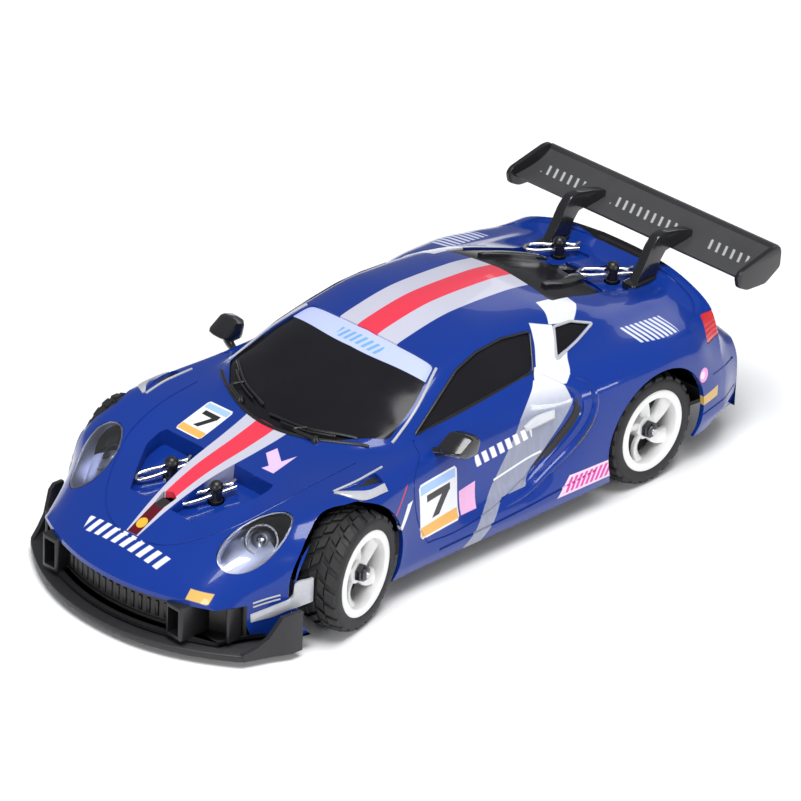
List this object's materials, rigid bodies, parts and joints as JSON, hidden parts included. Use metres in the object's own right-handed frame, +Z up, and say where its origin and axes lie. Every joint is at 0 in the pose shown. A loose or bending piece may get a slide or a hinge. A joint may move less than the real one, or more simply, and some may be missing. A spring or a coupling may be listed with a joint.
{
  "type": "remote control car",
  "caption": "Small radio-controlled touring car with a clipped-on painted shell, tall rear wing, sprung steering front wheels and a geared rear axle.",
  "frame": {"origin": "on the ground under the centre of the bounding box", "axes": "+X towards the nose, +Y towards the car's left side, +Z up; the front wheels rest steered 14 degrees to the left"},
  "size_m": [0.1776, 0.0828, 0.0469],
  "materials": {
    "blue_paint": "glossy painted shell with printed graphics",
    "dark_glass": "glossy black window moulding",
    "satin_black": "satin moulded black",
    "charcoal": "matt charcoal plastic",
    "chassis_black": "glass-filled nylon, matt",
    "steel_wire": "bright plated steel",
    "dark_steel": "black oxide steel",
    "white_nylon": "white moulded nylon, semi-gloss",
    "tyre_rubber": "soft black rubber",
    "clear_lens": "clear moulded lens",
    "lamp_reflector": "silvered reflector",
    "red_lens": "translucent red lens",
    "brass": "machined brass",
    "battery_wrap": "shrink-wrapped cells",
    "board_green": "solder-masked board",
    "switch_grey": "light grey slider"
  },
  "bodies": {
    "chassis": {"body_shell": "blue_paint", "window_insert": "dark_glass", "headlight_lens_left": "clear_lens", "headlight_lens_right": "clear_lens", "headlight_bucket_left": "lamp_reflector", "headlight_bucket_right": "lamp_reflector", "tail_light_left": "red_lens", "tail_light_right": "red_lens", "mirror_left": "satin_black", "mirror_right": "satin_black", "front_splitter": "charcoal", "front_grille": "satin_black", "rear_wing": "satin_black", "wing_stay_left": "satin_black", "wing_stay_right": "satin_black", "rear_diffuser": "charcoal", "chassis_tray": "chassis_black", "front_body_post": "satin_black", "rear_body_post": "satin_black", "body_clip_front_left": "steel_wire", "body_clip_front_right": "steel_wire", "body_clip_rear_left": "steel_wire", "body_clip_rear_right": "steel_wire", "front_lower_arm": "chassis_black", "front_upper_arm": "chassis_black", "front_bulkhead": "chassis_black", "front_kingpin_left": "steel_wire", "front_kingpin_right": "steel_wire", "front_spring_left": "steel_wire", "front_spring_right": "steel_wire", "servo_case": "satin_black", "motor_can": "steel_wire", "gearbox_case": "chassis_black", "battery_pack": "battery_wrap", "battery_strap": "satin_black", "circuit_board": "board_green", "switch_housing": "satin_black"},
    "spring_seat_left": {"spring_seat_left": "chassis_black"},
    "knuckle_left": {"front_knuckle_left": "chassis_black", "wheel_nut_front_left": "dark_steel"},
    "wheel_front_left": {"rim_front_left": "white_nylon", "tyre_front_left": "tyre_rubber"},
    "spring_seat_right": {"spring_seat_right": "chassis_black"},
    "knuckle_right": {"front_knuckle_right": "chassis_black", "wheel_nut_front_right": "dark_steel"},
    "wheel_front_right": {"rim_front_right": "white_nylon", "tyre_front_right": "tyre_rubber"},
    "rear_axle": {"rear_axle": "steel_wire", "spur_gear": "white_nylon", "rim_rear_left": "white_nylon", "rim_rear_right": "white_nylon", "tyre_rear_left": "tyre_rubber", "tyre_rear_right": "tyre_rubber", "wheel_nut_rear_left": "dark_steel", "wheel_nut_rear_right": "dark_steel"},
    "motor_pinion": {"motor_pinion": "brass"},
    "tie_rod": {"tie_rod": "chassis_black"},
    "servo_horn": {"servo_horn": "white_nylon"},
    "power_switch": {"power_switch": "switch_grey"}
  },
  "joints": [
    {"name": "front_suspension_left", "type": "slide", "parent": "chassis", "child": "spring_seat_left", "axis": [0, 0, 1], "range_m": [-0.0002, 0.0005], "stiffness_N_per_m": 300, "springref_m": -0.0011, "deforming": ["front_spring_left"]},
    {"name": "front_steering_left", "type": "hinge", "parent": "spring_seat_left", "child": "knuckle_left", "pos_m": [0.0474, 0.0305, 0.0135], "axis": [0, 0, 1], "range_deg": [-39, 11]},
    {"name": "front_wheel_spin_left", "type": "hinge", "parent": "knuckle_left", "child": "wheel_front_left", "pos_m": [0.0465, 0.03409, 0.0135], "axis": [-0.2419, 0.9703, 0], "continuous": true},
    {"name": "front_suspension_right", "type": "slide", "parent": "chassis", "child": "spring_seat_right", "axis": [0, 0, 1], "range_m": [-0.0002, 0.0005], "stiffness_N_per_m": 300, "springref_m": -0.0011, "deforming": ["front_spring_right"]},
    {"name": "front_steering_right", "type": "hinge", "parent": "spring_seat_right", "child": "knuckle_right", "pos_m": [0.0474, -0.0305, 0.0135], "axis": [0, 0, 1], "range_deg": [-39, 11]},
    {"name": "front_wheel_spin_right", "type": "hinge", "parent": "knuckle_right", "child": "wheel_front_right", "pos_m": [0.04829, -0.03409, 0.0135], "axis": [-0.2419, 0.9703, 0], "continuous": true},
    {"name": "rear_axle_spin", "type": "hinge", "parent": "chassis", "child": "rear_axle", "pos_m": [-0.0476, 0, 0.0135], "axis": [0, 1, 0], "continuous": true},
    {"name": "motor_spin", "type": "hinge", "parent": "chassis", "child": "motor_pinion", "pos_m": [-0.0391, 0, 0.0135], "axis": [0, 1, 0], "continuous": true},
    {"name": "tie_rod_slide", "type": "slide", "parent": "chassis", "child": "tie_rod", "axis": [0, 1, 0], "range_m": [-0.00125, 0.0043]},
    {"name": "servo_horn_turn", "type": "hinge", "parent": "chassis", "child": "servo_horn", "pos_m": [0.0322, 0, 0.0083], "axis": [0, 0, 1], "range_deg": [-11, 38]},
    {"name": "power_switch_slide", "type": "slide", "parent": "chassis", "child": "power_switch", "axis": [1, 0, 0], "range_m": [0, 0.0026]}
  ],
  "couplings": [
    {"joint": "motor_spin", "follows": "rear_axle_spin", "ratio": -3},
    {"joint": "front_steering_right", "follows": "front_steering_left", "ratio": 1},
    {"joint": "tie_rod_slide", "follows": "front_steering_left", "m_per_rad": -0.00629},
    {"joint": "servo_horn_turn", "follows": "front_steering_left", "ratio": -0.968}
  ]
}
